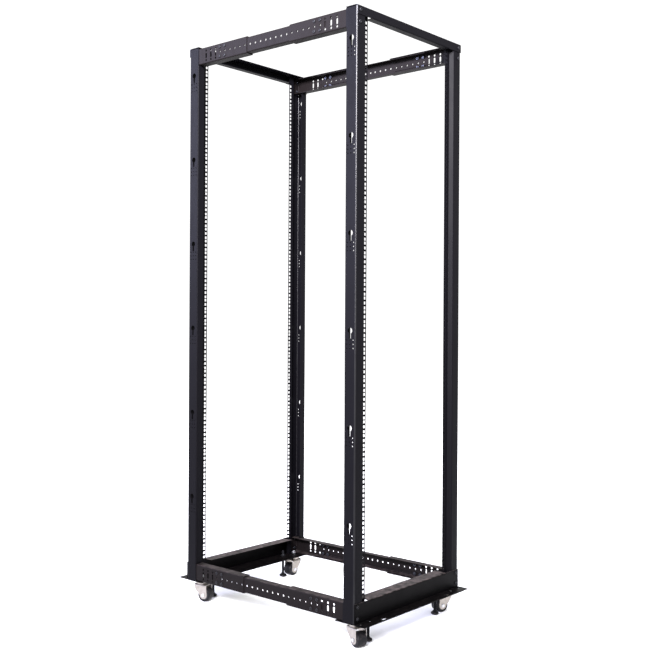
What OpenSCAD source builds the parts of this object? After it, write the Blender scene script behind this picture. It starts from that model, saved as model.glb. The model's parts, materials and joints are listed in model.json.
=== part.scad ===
// Open four-post server rack on casters, 42 rack units high, with an adjustable depth.
// A front frame and a rear frame are joined by four telescoping side rails.
// Frame of reference: X across the rack, Y from front to rear, Z up.
// The origin is on the floor, at the middle of the width and of the depth.
//
// Corner pieces are drawn once, in corner coordinates:
//   u runs outward from the middle of the width,
//   v runs inward from the plane of the equipment holes, towards the middle of the rack,
//   z runs up from the floor.

/* [Overall] */
// Width across the outside of the posts
rack_w = 600; // [560:1:760]
// Distance from the front equipment holes to the rear ones
hole_depth = 762; // [600:1:920]
// Number of rack units between the beams
units = 42; // [18:1:48]

/* [Equipment holes] */
// Height of one rack unit
unit_h = 44.45; // [44:0.05:54]
// Clear width between the post flanges
opening_w = 450; // [430:1:460]
// Distance between the two columns of equipment holes
hole_spacing = 465.1; // [448:0.1:475]
// Side of a square equipment hole
square_hole = 9.5; // [8:0.1:11.5]
// Gap from the base beam up to the first rack unit
unit_gap_low = 2; // [1:0.5:40]
// Gap from the last rack unit up to the top beam
unit_gap_high = 6.1; // [1:0.1:40]

/* [Sheet metal] */
// Thickness of the posts, beams and rails
sheet_t = 2; // [1.6:0.1:2.5]
// Radius inside every bend
bend_r = 2.5; // [1.5:0.1:3]
// Thickness of the foot plates
plate_t = 3; // [2:0.5:6]

/* [Posts] */
// Width of the post face beside the equipment flange
post_face = 42; // [30:1:48]
// How far the post face stands out in front of the equipment holes
post_step = 16; // [12:1:22]
// How far the wall of that step leans inwards
post_lean = 8; // [0:1:12]
// How far the post's outer side reaches back behind the equipment holes
post_back = 30; // [24:1:60]
// Width of the stiffening lip at the back of the post
post_lip = 29; // [12:1:32]

/* [Post side holes] */
// Distance from the equipment holes back to the keyholes
key_v = 7; // [4:0.5:9]
// Diameter of the round end of a keyhole
key_d = 19; // [12:0.5:21]
// Width of the slot that hangs from a keyhole
key_slot = 8; // [5:0.5:10]
// Height of a whole keyhole
key_len = 36; // [28:1:42]
// Rack units between one keyhole and the next
key_pitch = 7; // [4:1:12]
// Diameter of the small holes below a keyhole
tie_d = 4.5; // [3:0.1:5.5]
// Distance between two small holes
tie_pitch = 12.7; // [8:0.1:15]

/* [Beams and plates] */
// Height of the base beams
base_h = 63; // [50:1:90]
// Depth of the base beam's top flange
base_flange = 50; // [30:1:60]
// Height of the top beams
beam_h = 30; // [24:1:60]
// Depth of the top beam's lower flange
beam_flange = 26; // [20:1:60]
// Gap between a beam flange and the post flange beside it
beam_gap = 1; // [0.5:0.5:3]
// How far the foot plates stand out in front of the equipment holes
plate_out = 60; // [55:1:110]
// How far the foot plates reach in behind the equipment holes
plate_in = 62; // [40:1:90]
// Diameter of the round holes in the foot plates
anchor_d = 12; // [8:0.5:13]
// Distance of the inner anchor holes from the middle of the width
anchor_u = 236; // [225:1:250]
// Distance of the outer anchor holes from the middle of the width
anchor_outer_u = 284; // [265:1:290]
// Distance of the anchor holes out from the equipment holes
anchor_v = 30; // [26:1:45]
// Length of the slots in the foot plates
foot_slot = 24; // [14:1:30]
// Distance of the slots from the middle of the width
foot_slot_u = 185; // [150:1:205]
// Distance of the slots out from the equipment holes
foot_slot_v = 48; // [30:1:50]

/* [Side rails] */
// Height of the rail end sections
rail_h = 60; // [56:1:70]
// Depth of the rail flanges
rail_flange = 34; // [20:1:36]
// Length of an end section, from the equipment holes
rail_len = 278.4; // [255:0.1:295]
// Gap from the foot plate up to the lower rails
rail_gap_low = 1; // [0.5:0.5:6]
// Gap from the upper rails to the underside of the top beams
rail_gap_high = 4; // [3:0.5:10]
// Clearance between an end section's side and the slide bar
bar_clear = 0.3; // [0.2:0.1:1]
// Step from an end section's edge down to the slide bar's edge
bar_step = 3; // [2.5:0.1:5]
// Depth of the slide bar's flanges
bar_flange = 28; // [16:1:30]
// Length of slide bar that sits inside each end section
bar_overlap = 159; // [155:1:185]
// Distance between two holes along the rails
row_pitch = 25.4; // [24:0.1:31]
// Distance from the equipment holes to the first hole that the slide bar shares
row_start = 141.5; // [135:0.5:150]
// Diameter of the holes along the middle of the rails
row_d = 7; // [5:0.1:8]
// Distance from the equipment holes to the first column of slots
slot_start = 69; // [55:1:80]
// Diameter of the round holes above and below each slot
slot_hole_d = 8; // [5:0.1:8.5]
// Height of each slot
slot_len = 20; // [14:1:22]

/* [Fasteners] */
// Diameter of the M6 screws
screw_d = 6; // [5:0.1:6.4]
// Clearance of a screw hole
screw_clear = 0.6; // [0.4:0.1:1]
// Diameter of a screw head
head_d = 12; // [9:0.5:12.5]
// Height of a screw head
head_h = 3.6; // [2:0.1:5]
// Width across the flats of a nut
nut_af = 10; // [8:0.1:10.5]
// Height of a nut
nut_h = 5; // [3:0.1:6]
// Distance of the corner screws from the outside of the posts
corner_screw_u = 15; // [13:0.5:20]
// Height of the upper corner screw above the middle of its rail
corner_screw_high = 21; // [16:0.5:21]
// Distance of the lower corner screw below the middle of its rail
corner_screw_low = 16.5; // [12:0.5:20]
// Distance of the clamp screws above and below the middle of a rail
clamp_z = 17; // [14:0.5:18]

/* [Casters] */
// Height of the foot plates above the tops of the wheels
caster_over = 30.2; // [28:0.1:50]
// Distance of the casters from the middle of the width
caster_u = 252; // [244:1:258]
// Distance of the casters behind the equipment holes
caster_v = 14; // [13:1:30]
// Diameter of the wheels
wheel_d = 50.8; // [44:0.1:56]
// Width of the wheels
wheel_w = 36; // [24:1:40]
// Diameter of the wheel hubs
hub_d = 33; // [28:1:38]
// Rounding of the tyre's shoulders
tyre_round = 5; // [1:0.5:6]
// Distance from the swivel axis back to the wheel axle
caster_trail = 16; // [12:1:26]
// Diameter of the wheel axles
axle_d = 8; // [6:0.5:10]
// Thickness of the fork legs
fork_t = 2.5; // [2:0.1:4]
// Gap between a wheel and each fork leg
wheel_gap = 1.5; // [1:0.1:3]
// Diameter of the swivel crown
crown_d = 50; // [40:1:54]
// Diameter of the caster stems
stem_d = 10; // [8:0.5:12]
// Trail direction of the front left caster, in degrees from X
heading_front_left = 254; // [0:1:359]
// Trail direction of the front right caster
heading_front_right = 159; // [0:1:359]
// Trail direction of the rear left caster
heading_rear_left = 287; // [0:1:359]
// Trail direction of the rear right caster
heading_rear_right = 181; // [0:1:359]

/* [Levelling feet] */
// Gap between a foot's pad and a wheel that swivels past it
foot_gap = 1.5; // [1:0.5:12]
// Distance of the feet behind the equipment holes
foot_v = 10; // [8:1:25]
// Diameter of a foot's pad
pad_d = 28; // [20:1:36]
// Height of a foot's pad
pad_h = 12; // [8:1:16]
// Gap between a raised pad and the floor
pad_lift = 3; // [1:0.5:10]
// Diameter of a foot's screw
foot_screw_d = 10; // [8:0.5:12]
// Length of a foot's screw above the foot plate
foot_screw_up = 22; // [14:1:30]

/* [Hidden] */

$fn = 48;
// Flat strips in each quarter-turn bend
bend_steps = 6;
// How far a cutter reaches past the face that it cuts
past = 1;

half_w = rack_w / 2;
half_t = sheet_t / 2;

// Heights, from the floor up
caster_h = wheel_d + caster_over;
plate_top = caster_h + plate_t;
base_top = plate_top + base_h;
unit_low = base_top + unit_gap_low;
unit_high = unit_low + units * unit_h;
beam_low = unit_high + unit_gap_high;
beam_top = beam_low + beam_h;
post_top = beam_top - sheet_t - bend_r;
rail_low_z = plate_top + rail_gap_low + rail_h / 2;
rail_high_z = beam_top - sheet_t - rail_gap_high - rail_h / 2;

// The post in plan
step_u = half_w - post_face;
face_v = -post_step;
lip_v = post_back - half_t;

// The rails in section
rail_out = half_w - sheet_t;
rail_in = rail_out - rail_flange;
tab_margin = sheet_t + 1;
bar_out = rail_out - sheet_t - bar_clear;
bar_h = rail_h - 2 * bar_step;
bar_half = hole_depth / 2 - rail_len + bar_overlap;
bar_mid_holes = floor((hole_depth / 2 - row_start - row_d) / row_pitch);
bar_first_hole = hole_depth / 2 - row_start - bar_mid_holes * row_pitch;
bar_slot_end = bar_overlap - 4;
slot_z = -1.5;
slot_hole_high = 16.5;
slot_hole_low = -18.5;
hole_edge = 6;

// The fasteners
screw_hole = screw_d + screw_clear;
screw_past_nut = 1.5;
nut_gap = 0.3;
corner_u = half_w - corner_screw_u;

// The casters
axle_z = wheel_d / 2;
race_t = 4;
race_gap = 0.5;
crown_top = caster_h - race_t - race_gap;
crown_t = 12;
saddle_t = fork_t;
saddle_z = crown_top - crown_t - saddle_t;
king_d = 8;
king_clear = 0.3;
king_head_d = 14;
king_head_t = 2.5;
leg_in = wheel_w / 2 + wheel_gap;
leg_r = 13.5;
saddle_lead = crown_d / 2 - 3;
saddle_back = crown_d / 2 + 2;
axle_clear = 0.05;
tyre_bore_r = hub_d / 2 + 0.1;
axle_head_d = 13;
axle_head_t = 3;
stem_nut_af = 17;
stem_nut_h = 8;
stem_up = plate_t + stem_nut_h + 3;
stem_hole = stem_d + 0.6;

// The levelling feet, placed clear of the circle that a wheel swivels in
swivel_r = norm([caster_trail + wheel_d / 2 - tyre_round, wheel_w / 2 - tyre_round]) + tyre_round;
foot_reach = swivel_r + pad_d / 2 + foot_gap;
foot_u = caster_u - sqrt(foot_reach * foot_reach - (caster_v - foot_v) * (caster_v - foot_v));
foot_nut_af = 16;
foot_nut_h = 6;
foot_hole = foot_screw_d + 0.8;

// Unit vector along v, and v turned by an angle
function along(v) = v / norm(v);
function turned(v, angle) =
    [v.x * cos(angle) - v.y * sin(angle), v.x * sin(angle) + v.y * cos(angle)];

// One side of a bend: an arc round the bend's centre, at an offset to the left of the path
function bend_arc(corner, from, to, offset) =
    let (into = along(corner - from),
         out = along(to - corner),
         turn = atan2(cross(into, out), into * out),
         side = sign(turn),
         r = bend_r + half_t,
         centre = corner - into * r * tan(abs(turn) / 2) + turned(into, 90) * side * r)
    [for (k = [0 : bend_steps])
        centre - turned(turned(into, 90), turn * k / bend_steps) * side * (r - side * offset)];

// One side of a bent sheet, from the first point of its path to the last
function sheet_side(path, offset) =
    let (last = len(path) - 1,
         start = along(path[1] - path[0]),
         end = along(path[last] - path[last - 1]))
    concat([path[0] + turned(start, 90) * offset],
           [for (i = [1 : 1 : last - 1])
               each bend_arc(path[i], path[i - 1], path[i + 1], offset)],
           [path[last] + turned(end, 90) * offset]);

function reversed(points) = [for (i = [len(points) - 1 : -1 : 0]) points[i]];

// A sheet bent along a path through the middle of its thickness
module bent_sheet(path)
    polygon(concat(sheet_side(path, half_t), reversed(sheet_side(path, -half_t))));

// Extrusions along the three corner directions: paths are (u, v), (u, z) and (v, z)
module run_z(from, to, path)
    translate([0, 0, from]) linear_extrude(to - from) bent_sheet(path);
module run_v(from, to, path)
    translate([0, to, 0]) rotate([90, 0, 0]) linear_extrude(to - from) bent_sheet(path);
module run_u(from, to, path)
    translate([from, 0, 0]) rotate([90, 0, 90]) linear_extrude(to - from) bent_sheet(path);

// Round bars along the three corner directions, used as cutters and as screws
module rod_u(u, v, z, length, d) translate([u, v, z]) rotate([0, 90, 0]) cylinder(h = length, d = d);
module rod_v(u, v, z, length, d) translate([u, v, z]) rotate([-90, 0, 0]) cylinder(h = length, d = d);
module rod_z(u, v, z, length, d) translate([u, v, z]) cylinder(h = length, d = d);

// A box from one corner to the opposite one
module block(low, high) translate(low) cube(high - low);

// Places corner coordinates at one end of the rack: front is -1 and rear is 1
module at_end(end)
    translate([0, end * hole_depth / 2, 0]) mirror([0, end > 0 ? 1 : 0, 0]) children();
// Places them at one corner: left is -1 and right is 1
module at_corner(side, end)
    at_end(end) mirror([side < 0 ? 1 : 0, 0, 0]) children();
// Both corners of one end
module both_sides() for (side = [0, 1]) mirror([side, 0, 0]) children();

// ---- Posts ----

function post_path(lip) = concat(
    [[opening_w / 2, half_t],
     [step_u - post_lean + half_t, half_t],
     [step_u + half_t, face_v + half_t],
     [half_w - half_t, face_v + half_t]],
    lip ? [[half_w - half_t, lip_v], [half_w - post_lip, lip_v]] : [[half_w - half_t, post_back]]);

module keyhole(z) {
    u = half_w - sheet_t - past;
    length = sheet_t + 2 * past;
    drop = key_len - key_d / 2 - key_slot / 2;
    rod_u(u, key_v, z, length, key_d);
    rod_u(u, key_v, z - drop, length, key_slot);
    block([u, key_v - key_slot / 2, z - drop], [u + length, key_v + key_slot / 2, z]);
    // The grid of small holes hangs below the slot
    for (column = [-1 : 1], row = [1 : 3])
        rod_u(u, key_v + column * tie_pitch, z - drop - 8 + (1 - row) * (tie_pitch + 0.3), length, tie_d);
}

module post() {
    low_notch = rail_low_z + rail_h / 2 + past;
    high_notch = rail_high_z - rail_h / 2 - past;
    color([0.09, 0.09, 0.11]) difference() {
        union() {
            run_z(plate_top, low_notch, post_path(false));
            run_z(low_notch, high_notch, post_path(true));
            run_z(high_notch, post_top, post_path(false));
        }
        for (unit = [0 : units - 1], part = [1 / 7, 1 / 2, 6 / 7])
            translate([hole_spacing / 2, half_t, unit_low + (unit + part) * unit_h])
                cube([square_hole, sheet_t + 2 * past, square_hole], center = true);
        for (unit = [5.5 : key_pitch : units - 1]) keyhole(unit_low + unit * unit_h);
        corner_screw_holes();
    }
}

// ---- Beams and foot plates ----

module base_beam() {
    web_v = face_v - half_t;
    inner = opening_w / 2 - beam_gap;
    color([0.09, 0.09, 0.11]) difference() {
        union() {
            run_u(-inner, inner, [[web_v, plate_top], [web_v, base_top - half_t],
                                  [face_v - sheet_t + base_flange, base_top - half_t]]);
            both_sides() block([inner - past, face_v - sheet_t, plate_top], [half_w, face_v, base_top - bend_r - sheet_t]);
            both_sides() block([inner, face_v - sheet_t, plate_top], [half_w, face_v, base_top]);
        }
        both_sides() corner_screw_holes();
    }
}

module top_beam() {
    web_v = face_v - half_t;
    inner = opening_w / 2 - beam_gap;
    crown = [[web_v, beam_low + half_t], [web_v, beam_top - half_t], [post_back, beam_top - half_t]];
    color([0.09, 0.09, 0.11]) difference() {
        union() {
            run_u(-inner, inner, concat([[face_v - sheet_t + beam_flange, beam_low + half_t]], crown));
            both_sides() run_u(inner - past, half_w, [[web_v, beam_low + sheet_t + bend_r], crown[1], crown[2]]);
            both_sides() block([inner, face_v - sheet_t, beam_low], [half_w, face_v, beam_low + 2 * (sheet_t + bend_r)]);
        }
        both_sides() corner_screw_holes();
    }
}

module foot_plate() {
    below = caster_h - past;
    through = plate_t + 2 * past;
    color([0.09, 0.09, 0.11]) difference() {
        block([-half_w, -plate_out, caster_h], [half_w, plate_in, plate_top]);
        both_sides() {
            rod_z(anchor_u, -anchor_v, below, through, anchor_d);
            rod_z(anchor_outer_u, -anchor_v, below, through, anchor_d);
            rod_z(caster_u, caster_v, below, through, stem_hole);
            rod_z(foot_u, foot_v, below, through, foot_hole);
            slot_half = (foot_slot - anchor_d) / 2;
            for (end = [-1, 1])
                rod_z(foot_slot_u + end * slot_half, -foot_slot_v, below, through, anchor_d);
            block([foot_slot_u - slot_half, -foot_slot_v - anchor_d / 2, below],
                  [foot_slot_u + slot_half, -foot_slot_v + anchor_d / 2, below + through]);
        }
    }
}

// ---- Side rails ----

// An end section: a channel whose web is bent in behind the post's face as a bolting tab
module rail_section(z) {
    web_u = rail_out - half_t;
    high = z + rail_h / 2;
    low = z - rail_h / 2;
    bend_end = face_v + sheet_t + bend_r + sheet_t;
    color([0.09, 0.09, 0.11]) difference() {
        union() {
            run_v(bend_end, rail_len, [[rail_in, high - half_t], [web_u, high - half_t],
                                       [web_u, low + half_t], [rail_in, low + half_t]]);
            run_z(low + tab_margin, high - tab_margin,
                  [[rail_in, face_v + sheet_t + half_t], [web_u, face_v + sheet_t + half_t],
                   [web_u, bend_end + past]]);
        }
        corner_screw_holes();
        rail_holes(z);
        for (hole = [row_start : row_pitch : rail_len - hole_edge])
            rod_u(rail_out - sheet_t - past, hole, z, sheet_t + 2 * past, row_d);
        clamp_places(z) rotate([0, 90, 0]) translate([0, 0, -past - sheet_t])
            cylinder(h = sheet_t + 2 * past, d = screw_hole);
    }
}

// Three columns of a round hole, a slot and a round hole, near the post
module rail_holes(z) {
    u = rail_out - sheet_t - past;
    length = sheet_t + 2 * past;
    run = (slot_len - slot_hole_d) / 2;
    for (column = [0 : 2]) {
        v = slot_start + column * row_pitch;
        rod_u(u, v, z + slot_hole_high, length, slot_hole_d);
        rod_u(u, v, z + slot_hole_low, length, slot_hole_d);
        for (end = [-1, 1]) rod_u(u, v, z + slot_z + end * run, length, slot_hole_d);
        block([u, v - slot_hole_d / 2, z + slot_z - run], [u + length, v + slot_hole_d / 2, z + slot_z + run]);
    }
}

// A slide bar, drawn from the middle of the rack's depth: y runs along the rack
module slide_bar(z) {
    web_u = bar_out - half_t;
    in_u = bar_out - bar_flange;
    color([0.09, 0.09, 0.11]) difference() {
        run_v(-bar_half, bar_half, [[in_u, z + bar_h / 2 - half_t], [web_u, z + bar_h / 2 - half_t],
                                    [web_u, z - bar_h / 2 + half_t], [in_u, z - bar_h / 2 + half_t]]);
        for (end = [-1, 1], hole = [bar_first_hole : row_pitch : bar_half - hole_edge])
            rod_u(bar_out - sheet_t - past, end * hole, z, sheet_t + 2 * past, row_d);
        // Open-ended slots let the clamp screws stay put while the bar slides
        for (end = [0, 1], row = [-1, 1]) mirror([0, end, 0]) clamp_slot(z + row * clamp_z);
    }
}

module clamp_slot(z) {
    u = bar_out - sheet_t - past;
    length = sheet_t + 2 * past;
    width = screw_d + 1;
    inner_end = bar_half - bar_slot_end + width / 2;
    rod_u(u, inner_end, z, length, width);
    block([u, inner_end, z - width / 2], [u + length, bar_half + past, z + width / 2]);
}

// ---- Screws and nuts ----

module nut(af, height, bore) difference() {
    cylinder(h = height, d = af / cos(30), $fn = 6);
    translate([0, 0, -past]) cylinder(h = height + 2 * past, d = bore);
}

// Each corner screw as [height, face that its head sits on]
function corner_screws() = [
    [rail_high_z + corner_screw_high, face_v - sheet_t],
    [rail_high_z - corner_screw_low, rail_high_z - corner_screw_low + head_d / 2 > beam_low
        ? face_v - sheet_t : face_v],
    [rail_low_z + corner_screw_high, face_v - sheet_t],
    [rail_low_z - corner_screw_low, face_v - sheet_t]];

module corner_screw_holes()
    for (screw = corner_screws())
        rod_v(corner_u, face_v - sheet_t - past, screw[0], 3 * sheet_t + 2 * past, screw_hole);

module corner_screw_set() color([0.16, 0.16, 0.18]) both_sides()
    for (screw = corner_screws()) {
        length = face_v + 2 * sheet_t + nut_h + screw_past_nut - screw[1];
        rod_v(corner_u, screw[1], screw[0], length, screw_d);
        rod_v(corner_u, screw[1] - head_h, screw[0], head_h, head_d);
    }

module corner_nut_set() color([0.75, 0.75, 0.77]) both_sides()
    for (screw = corner_screws())
        translate([corner_u, face_v + 2 * sheet_t, screw[0]]) rotate([-90, 0, 0]) nut(nut_af, nut_h, screw_d);

// The clamp screws of one rail, at the outside of its web
module clamp_places(z)
    for (column = [0, 1], row = [-1, 1])
        translate([rail_out, row_start + column * row_pitch, z + row * clamp_z]) children();

module clamp_screw_set() color([0.16, 0.16, 0.18]) both_sides()
    for (z = [rail_low_z, rail_high_z]) clamp_places(z) rotate([0, -90, 0]) {
        cylinder(h = rail_out - bar_out + sheet_t + nut_gap + nut_h + screw_past_nut, d = screw_d);
        translate([0, 0, -head_h]) cylinder(h = head_h, d = head_d - 1);
    }

module clamp_nut_set() color([0.75, 0.75, 0.77]) both_sides()
    for (z = [rail_low_z, rail_high_z]) clamp_places(z) rotate([0, -90, 0])
        translate([0, 0, rail_out - bar_out + sheet_t + nut_gap]) nut(nut_af, nut_h, screw_d);

// ---- Casters ----

// Places a caster, whose own X is the direction that it trails in
module at_caster(side, end, heading)
    translate([side * caster_u, end * (hole_depth / 2 - caster_v), 0]) rotate([0, 0, heading]) children();

// The fixed half of the swivel: race, threaded stem with its nut, and king pin
module caster_stem() color([0.72, 0.72, 0.74]) {
    rod_z(0, 0, caster_h - race_t, race_t, crown_d - 2);
    rod_z(0, 0, caster_h, stem_up, stem_d);
    translate([0, 0, plate_top]) nut(stem_nut_af, stem_nut_h, stem_d);
    rod_z(0, 0, saddle_z - race_gap, caster_h - race_t - saddle_z + race_gap, king_d);
    rod_z(0, 0, saddle_z - race_gap - king_head_t, king_head_t, king_head_d);
}

module fork_leg() {
    high = saddle_z + saddle_t;
    outline = [[-saddle_lead, high], [saddle_back, high], [caster_trail + leg_r, axle_z],
               [caster_trail + leg_r * cos(205), axle_z + leg_r * sin(205)],
               [-saddle_lead * 0.45, axle_z + (high - axle_z) * 0.3],
               [-saddle_lead * 0.85, axle_z + (high - axle_z) * 0.65]];
    rotate([90, 0, 0]) linear_extrude(fork_t) difference() {
        union() {
            polygon(outline);
            translate([caster_trail, axle_z]) circle(r = leg_r);
        }
        translate([caster_trail, axle_z]) circle(d = axle_d);
    }
}

module caster_fork() color([0.78, 0.78, 0.8]) difference() {
    union() {
        rod_z(0, 0, saddle_z + saddle_t, crown_t, crown_d);
        block([-saddle_lead, -leg_in - fork_t, saddle_z], [saddle_back, leg_in + fork_t, saddle_z + saddle_t]);
        translate([0, -leg_in, 0]) fork_leg();
        translate([0, leg_in + fork_t, 0]) fork_leg();
    }
    rod_z(0, 0, saddle_z - past, crown_top - saddle_z + 2 * past, king_d + 2 * king_clear);
}

module caster_axle() color([0.72, 0.72, 0.74]) {
    half = leg_in + fork_t;
    rod_v(caster_trail, -half, axle_z, 2 * half, axle_d);
    for (y = [-half - axle_head_t, half]) rod_v(caster_trail, y, axle_z, axle_head_t, axle_head_d);
}

module caster_hub() color([0.25, 0.25, 0.27]) difference() {
    rod_v(caster_trail, -wheel_w / 2, axle_z, wheel_w, hub_d);
    rod_v(caster_trail, -wheel_w, axle_z, 2 * wheel_w, axle_d + 2 * axle_clear);
}

module caster_tyre() color([0.05, 0.05, 0.05])
    translate([caster_trail, 0, axle_z]) rotate([90, 0, 0]) rotate_extrude() {
        shoulder = wheel_w / 2 - tyre_round;
        difference() {
            union() {
                translate([tyre_bore_r, -shoulder]) square([wheel_d / 2 - tyre_bore_r, 2 * shoulder]);
                translate([tyre_bore_r, -wheel_w / 2]) square([wheel_d / 2 - tyre_round - tyre_bore_r, wheel_w]);
                for (y = [-shoulder, shoulder]) translate([wheel_d / 2 - tyre_round, y]) circle(r = tyre_round);
            }
            // The shoulders' circles end at the bore
            translate([0, -wheel_w]) square([tyre_bore_r, 2 * wheel_w]);
        }
    }

// ---- Levelling feet ----

module foot_screw() color([0.08, 0.08, 0.08])
    rod_z(foot_u, foot_v, pad_lift + pad_h, plate_top + foot_screw_up - pad_lift - pad_h, foot_screw_d);

module foot_pad() color([0.06, 0.06, 0.06]) {
    rim = pad_h / 2;
    rod_z(foot_u, foot_v, pad_lift, rim, pad_d);
    translate([foot_u, foot_v, pad_lift + rim]) cylinder(h = pad_h - rim, d1 = pad_d, d2 = pad_d * 0.6);
}

// A lock nut on the plate and one under it, on each foot screw
module foot_nut_set() color([0.08, 0.08, 0.08]) both_sides()
    for (z = [plate_top, caster_h - foot_nut_h])
        translate([foot_u, foot_v, z]) nut(foot_nut_af, foot_nut_h, foot_hole);

at_corner(-1, -1) post();  // post_front_left
at_corner(1, -1) post();  // post_front_right
at_corner(-1, 1) post();  // post_rear_left
at_corner(1, 1) post();  // post_rear_right
at_end(-1) top_beam();  // top_beam_front
at_end(1) top_beam();  // top_beam_rear
at_end(-1) base_beam();  // base_beam_front
at_end(1) base_beam();  // base_beam_rear
at_end(-1) foot_plate();  // foot_plate_front
at_end(1) foot_plate();  // foot_plate_rear
at_corner(-1, -1) rail_section(rail_high_z);  // top_rail_front_left
at_corner(1, -1) rail_section(rail_high_z);  // top_rail_front_right
at_corner(-1, 1) rail_section(rail_high_z);  // top_rail_rear_left
at_corner(1, 1) rail_section(rail_high_z);  // top_rail_rear_right
at_corner(-1, -1) rail_section(rail_low_z);  // bottom_rail_front_left
at_corner(1, -1) rail_section(rail_low_z);  // bottom_rail_front_right
at_corner(-1, 1) rail_section(rail_low_z);  // bottom_rail_rear_left
at_corner(1, 1) rail_section(rail_low_z);  // bottom_rail_rear_right
mirror([1, 0, 0]) slide_bar(rail_high_z);  // slide_bar_top_left
slide_bar(rail_high_z);  // slide_bar_top_right
mirror([1, 0, 0]) slide_bar(rail_low_z);  // slide_bar_bottom_left
slide_bar(rail_low_z);  // slide_bar_bottom_right
at_end(-1) corner_screw_set();  // corner_screws_front
at_end(1) corner_screw_set();  // corner_screws_rear
at_end(-1) corner_nut_set();  // corner_nuts_front
at_end(1) corner_nut_set();  // corner_nuts_rear
at_end(-1) clamp_screw_set();  // clamp_screws_front
at_end(1) clamp_screw_set();  // clamp_screws_rear
at_end(-1) clamp_nut_set();  // clamp_nuts_front
at_end(1) clamp_nut_set();  // clamp_nuts_rear
at_caster(-1, -1, heading_front_left) caster_stem();  // caster_stem_front_left
at_caster(-1, -1, heading_front_left) caster_fork();  // caster_fork_front_left
at_caster(-1, -1, heading_front_left) caster_axle();  // caster_axle_front_left
at_caster(-1, -1, heading_front_left) caster_hub();  // caster_hub_front_left
at_caster(-1, -1, heading_front_left) caster_tyre();  // caster_tyre_front_left
at_caster(1, -1, heading_front_right) caster_stem();  // caster_stem_front_right
at_caster(1, -1, heading_front_right) caster_fork();  // caster_fork_front_right
at_caster(1, -1, heading_front_right) caster_axle();  // caster_axle_front_right
at_caster(1, -1, heading_front_right) caster_hub();  // caster_hub_front_right
at_caster(1, -1, heading_front_right) caster_tyre();  // caster_tyre_front_right
at_caster(-1, 1, heading_rear_left) caster_stem();  // caster_stem_rear_left
at_caster(-1, 1, heading_rear_left) caster_fork();  // caster_fork_rear_left
at_caster(-1, 1, heading_rear_left) caster_axle();  // caster_axle_rear_left
at_caster(-1, 1, heading_rear_left) caster_hub();  // caster_hub_rear_left
at_caster(-1, 1, heading_rear_left) caster_tyre();  // caster_tyre_rear_left
at_caster(1, 1, heading_rear_right) caster_stem();  // caster_stem_rear_right
at_caster(1, 1, heading_rear_right) caster_fork();  // caster_fork_rear_right
at_caster(1, 1, heading_rear_right) caster_axle();  // caster_axle_rear_right
at_caster(1, 1, heading_rear_right) caster_hub();  // caster_hub_rear_right
at_caster(1, 1, heading_rear_right) caster_tyre();  // caster_tyre_rear_right
at_corner(-1, -1) foot_screw();  // foot_screw_front_left
at_corner(-1, -1) foot_pad();  // foot_pad_front_left
at_corner(1, -1) foot_screw();  // foot_screw_front_right
at_corner(1, -1) foot_pad();  // foot_pad_front_right
at_corner(-1, 1) foot_screw();  // foot_screw_rear_left
at_corner(-1, 1) foot_pad();  // foot_pad_rear_left
at_corner(1, 1) foot_screw();  // foot_screw_rear_right
at_corner(1, 1) foot_pad();  // foot_pad_rear_right
at_end(-1) foot_nut_set();  // foot_nuts_front
at_end(1) foot_nut_set();  // foot_nuts_rear
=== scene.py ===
# %% [markdown]
# # An open four-post server rack
# The rack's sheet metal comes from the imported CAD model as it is. This script gives every sheet its
# powder coat, and builds the small turned, pressed and moulded pieces afresh: screws, nuts, casters
# and levelling feet. Each new piece is a surface worked out on a grid with numpy.

# %% The fixed frame
import json
import math

import bpy
import numpy as np
from mathutils import Matrix, Vector


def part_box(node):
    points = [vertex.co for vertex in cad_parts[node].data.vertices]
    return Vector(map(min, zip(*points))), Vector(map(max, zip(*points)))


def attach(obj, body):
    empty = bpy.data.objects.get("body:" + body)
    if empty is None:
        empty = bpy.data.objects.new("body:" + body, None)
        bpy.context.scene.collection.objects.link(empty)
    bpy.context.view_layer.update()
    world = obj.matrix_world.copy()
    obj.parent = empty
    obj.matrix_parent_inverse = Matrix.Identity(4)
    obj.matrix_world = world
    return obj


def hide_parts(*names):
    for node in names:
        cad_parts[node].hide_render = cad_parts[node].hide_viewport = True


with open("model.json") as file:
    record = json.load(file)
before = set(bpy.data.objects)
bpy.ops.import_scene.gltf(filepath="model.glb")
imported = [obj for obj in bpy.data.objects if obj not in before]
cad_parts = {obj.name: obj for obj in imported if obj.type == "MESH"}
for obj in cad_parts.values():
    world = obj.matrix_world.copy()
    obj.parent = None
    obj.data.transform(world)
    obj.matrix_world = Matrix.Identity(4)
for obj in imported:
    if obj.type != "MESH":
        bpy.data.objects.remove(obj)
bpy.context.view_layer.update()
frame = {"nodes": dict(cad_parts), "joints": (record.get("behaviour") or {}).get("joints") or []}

# %% [markdown]
# ## The camera
# The rack is seen from about its own middle height, off the corner between its front and its left
# side. The camera could be tipped up or down to frame it, but then the posts would lean together.
# So it stays level, but for a roll of a third of a degree, and a small lens shift does the framing.

# %% The camera
EYE = Vector((-2.6655, -2.2953, 1.052))
HEADING = math.radians(48.437)
ROLL = math.radians(0.322)
FOCAL_MM = 52.975
SHIFT = (0.0254, -0.0092)

camera_data = bpy.data.cameras.new("camera")
camera_data.sensor_width = 36.0
camera_data.lens = FOCAL_MM
camera_data.shift_x, camera_data.shift_y = SHIFT
camera = bpy.data.objects.new("camera", camera_data)
bpy.context.scene.collection.objects.link(camera)
looking = Vector((math.sin(HEADING), math.cos(HEADING), 0.0))
facing = looking.to_track_quat("-Z", "Y").to_matrix().to_4x4()
camera.matrix_world = Matrix.Translation(EYE) @ facing @ Matrix.Rotation(ROLL, 4, "Z")
bpy.context.scene.camera = camera

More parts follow.
